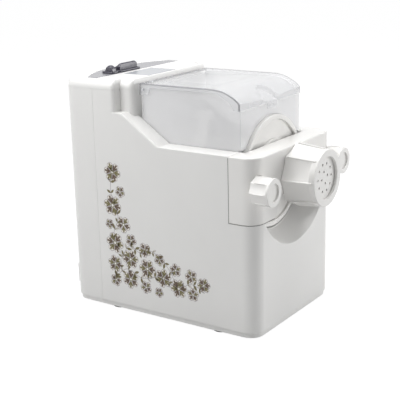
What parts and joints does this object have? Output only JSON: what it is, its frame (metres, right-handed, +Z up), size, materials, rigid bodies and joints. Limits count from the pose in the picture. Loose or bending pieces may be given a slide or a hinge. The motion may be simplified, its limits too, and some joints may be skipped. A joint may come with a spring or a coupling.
{
  "type": "electric pasta maker",
  "caption": "Boxy electric pasta maker with a clear mixing bowl and hinged lid, a clamped front head with a ribbed die nut, and rocker switches on a rear tower.",
  "frame": {"origin": "bottom centre of the bounding box, on the surface that the feet stand on", "axes": "+Z up, -Y towards the die nut at the front, +Y towards the power inlet at the rear, -X the side with the printed decoration"},
  "size_m": [0.209, 0.334, 0.307],
  "materials": {
    "shell_white": "smooth white moulded plastic",
    "head_white": "smooth warm white moulded plastic",
    "clear": "clear moulded plastic",
    "panel_grey": "satin grey panel",
    "inlay_grey": "light grey inlay",
    "switch_grey": "dark grey rocker",
    "rubber": "matt rubber",
    "seal_white": "pale silicone",
    "steel": "plain steel",
    "brass": "plain brass",
    "gear_plastic": "natural gear plastic",
    "motor_grey": "zinc plated steel",
    "winding": "varnished iron and copper",
    "black_plastic": "black moulded plastic",
    "board": "circuit board",
    "wire": "insulated wire"
  },
  "bodies": {
    "housing": {"base_plate": "shell_white", "main_housing": "shell_white", "rear_cover": "shell_white", "top_cover": "shell_white", "bowl_well": "shell_white", "mixing_bowl": "clear", "control_panel": "panel_grey", "top_inlay": "inlay_grey", "mode_bezel": "switch_grey", "power_bezel": "switch_grey", "rubber_feet": "rubber", "shaft_seal": "rubber", "base_screws": "steel", "rear_cover_screws": "steel", "lid_pins": "steel", "knob_studs": "steel", "stud_nuts": "steel", "front_gear_plate": "steel", "rear_gear_plate": "steel", "plate_spacers": "steel", "plate_screws": "steel", "shaft_bearings": "steel", "motor_screws": "steel", "idler_bushes": "brass", "inlet_pins": "brass", "motor_can": "motor_grey", "motor_end_bells": "motor_grey", "mode_switch": "black_plastic", "power_switch": "black_plastic", "reed_switch": "black_plastic", "board_parts": "black_plastic", "power_inlet": "black_plastic", "control_board": "board", "wiring": "wire"},
    "lid": {"bowl_lid": "clear", "lid_magnet": "steel"},
    "head": {"front_plate": "head_white", "head_disc": "head_white", "disc_gasket": "seal_white", "extrusion_barrel": "head_white", "barrel_seal": "rubber", "die_disc": "head_white"},
    "nut": {"die_nut": "head_white"},
    "left_clamp": {"left_knob": "head_white", "left_knob_insert": "brass"},
    "right_clamp": {"right_knob": "head_white", "right_knob_insert": "brass"},
    "mixer": {"auger": "head_white", "mixing_paddle": "head_white", "drive_shaft": "steel", "output_gear": "gear_plastic"},
    "idler": {"idler_gear": "gear_plastic", "idler_pinion": "steel", "idler_shaft": "steel"},
    "rotor": {"motor_pinion": "steel", "motor_shaft": "steel", "motor_rotor": "winding", "cooling_fan": "black_plastic"},
    "mode_button": {"mode_rocker": "switch_grey"},
    "power_button": {"power_rocker": "switch_grey"}
  },
  "joints": [
    {"name": "lid_hinge", "type": "hinge", "parent": "housing", "child": "lid", "pos_m": [0, 0.046, 0.284], "axis": [-1, 0, 0], "range_deg": [0, 85]},
    {"name": "head_pull", "type": "slide", "parent": "housing", "child": "head", "axis": [0, -1, 0], "range_m": [0, 0.11]},
    {"name": "die_nut_turn", "type": "hinge", "parent": "head", "child": "nut", "pos_m": [0, -0.145, 0.184], "axis": [0, -1, 0], "range_deg": [0, 720]},
    {"name": "left_knob_turn", "type": "hinge", "parent": "head", "child": "left_clamp", "pos_m": [-0.088, -0.133, 0.184], "axis": [0, -1, 0], "range_deg": [0, 1440]},
    {"name": "right_knob_turn", "type": "hinge", "parent": "head", "child": "right_clamp", "pos_m": [0.088, -0.133, 0.184], "axis": [0, -1, 0], "range_deg": [0, 1440]},
    {"name": "mixer_spin", "type": "hinge", "parent": "housing", "child": "mixer", "pos_m": [0, 0.075, 0.184], "axis": [0, 1, 0], "continuous": true},
    {"name": "idler_spin", "type": "hinge", "parent": "housing", "child": "idler", "pos_m": [0, 0.075, 0.114], "axis": [0, 1, 0], "continuous": true},
    {"name": "motor_spin", "type": "hinge", "parent": "housing", "child": "rotor", "pos_m": [0, 0.025, 0.06], "axis": [0, 1, 0], "continuous": true},
    {"name": "mode_rock", "type": "hinge", "parent": "housing", "child": "mode_button", "pos_m": [-0.0455, 0.1162, 0.2945], "axis": [1, 0, 0], "range_deg": [-8, 8]},
    {"name": "power_rock", "type": "hinge", "parent": "housing", "child": "power_button", "pos_m": [-0.0165, 0.1162, 0.2945], "axis": [1, 0, 0], "range_deg": [-8, 8]}
  ],
  "couplings": [
    {"joint": "idler_spin", "follows": "mixer_spin", "ratio": -4},
    {"joint": "motor_spin", "follows": "mixer_spin", "ratio": 20}
  ]
}
